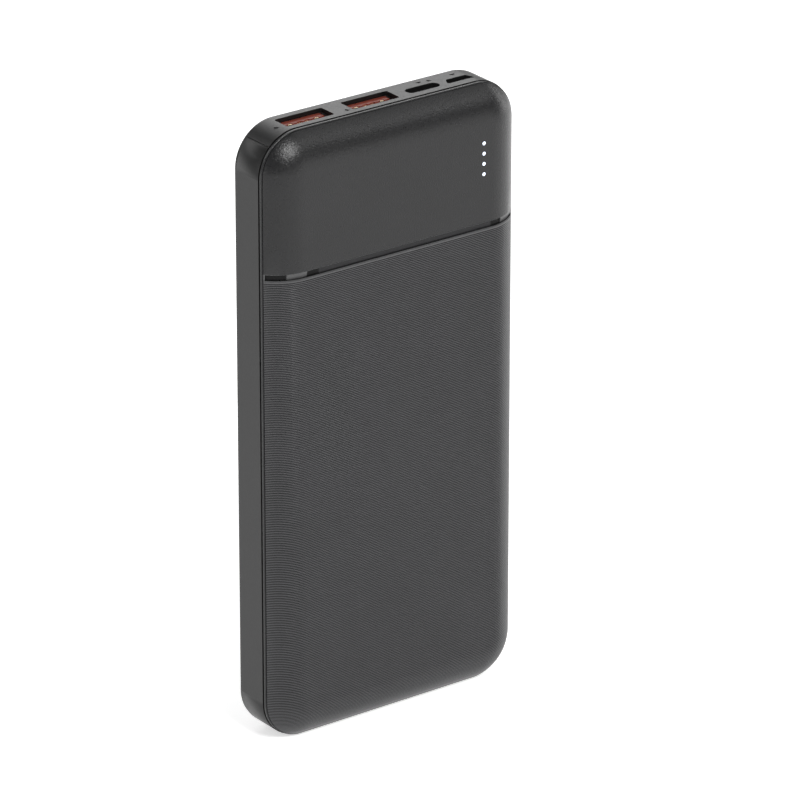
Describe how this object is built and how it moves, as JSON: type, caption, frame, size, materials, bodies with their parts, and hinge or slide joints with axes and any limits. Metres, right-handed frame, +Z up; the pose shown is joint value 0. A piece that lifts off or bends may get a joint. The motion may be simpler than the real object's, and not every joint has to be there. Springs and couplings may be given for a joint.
{
  "type": "power bank",
  "caption": "Slim rounded portable battery that stands on its short end, with a top port panel, domed covers, a row of charge lamps and a side power button.",
  "frame": {"origin": "middle of the base: centred on the width and the thickness, on the surface it stands on", "axes": "+Z up along the height, +X to the right across the width, -Y towards the front cover"},
  "size_m": [0.068, 0.018, 0.144],
  "materials": {
    "case_plastic": "fine moulded grain, matte",
    "band_plastic": "satin",
    "button_plastic": "satin",
    "socket_orange": "moulded nylon",
    "black_plastic": "moulded nylon",
    "steel": "pressed and nickel plated",
    "contact_gold": "gold flash",
    "board_mask": "solder mask",
    "cell_foil": "laminated foil",
    "foam": "closed-cell foam",
    "tape": "polyimide tape",
    "clear": "moulded acrylic",
    "led_white": "white lamp body",
    "red_rubber": "silicone sleeve",
    "black_rubber": "silicone sleeve",
    "ceramic": "sintered",
    "ferrite": "pressed powder",
    "can": "drawn can"
  },
  "bodies": {
    "case": {"front_cover": "case_plastic", "back_cover": "case_plastic", "side_frame": "band_plastic", "port_panel": "band_plastic", "switch_body": "black_plastic", "switch_dome": "steel", "battery_cell": "cell_foil", "positive_tab": "steel", "negative_tab": "steel", "protection_board": "board_mask", "protection_chips": "black_plastic", "insulating_tape": "tape", "red_lead": "red_rubber", "black_lead": "black_rubber", "front_pad": "foam", "back_pad": "foam", "main_board": "board_mask", "board_screws": "steel", "power_inductor": "ferrite", "controller_chip": "black_plastic", "bulk_capacitor": "can", "power_transistors": "black_plastic", "ceramic_capacitors": "ceramic", "status_leds": "led_white", "light_guide": "clear", "lamp_shade": "foam", "usb_a_shell_1": "steel", "usb_a_shell_2": "steel", "usb_a_tongue_1": "socket_orange", "usb_a_tongue_2": "socket_orange", "usb_a_contacts_1": "contact_gold", "usb_a_contacts_2": "contact_gold", "usb_c_shell": "steel", "usb_c_tongue": "black_plastic", "usb_c_contacts": "contact_gold", "micro_usb_shell": "steel", "micro_usb_tongue": "black_plastic", "micro_usb_contacts": "contact_gold"},
    "button": {"power_button": "button_plastic"},
    "plunger": {"switch_plunger": "black_plastic"}
  },
  "joints": [
    {"name": "button_press", "type": "slide", "parent": "case", "child": "button", "axis": [-1, 0, 0], "range_m": [0, 0.0003], "stiffness_N_per_m": 2000, "springref_m": -0.0005},
    {"name": "switch_press", "type": "slide", "parent": "case", "child": "plunger", "axis": [-1, 0, 0], "range_m": [0, 0.0003]}
  ],
  "couplings": [
    {"joint": "switch_press", "follows": "button_press", "ratio": 1}
  ]
}
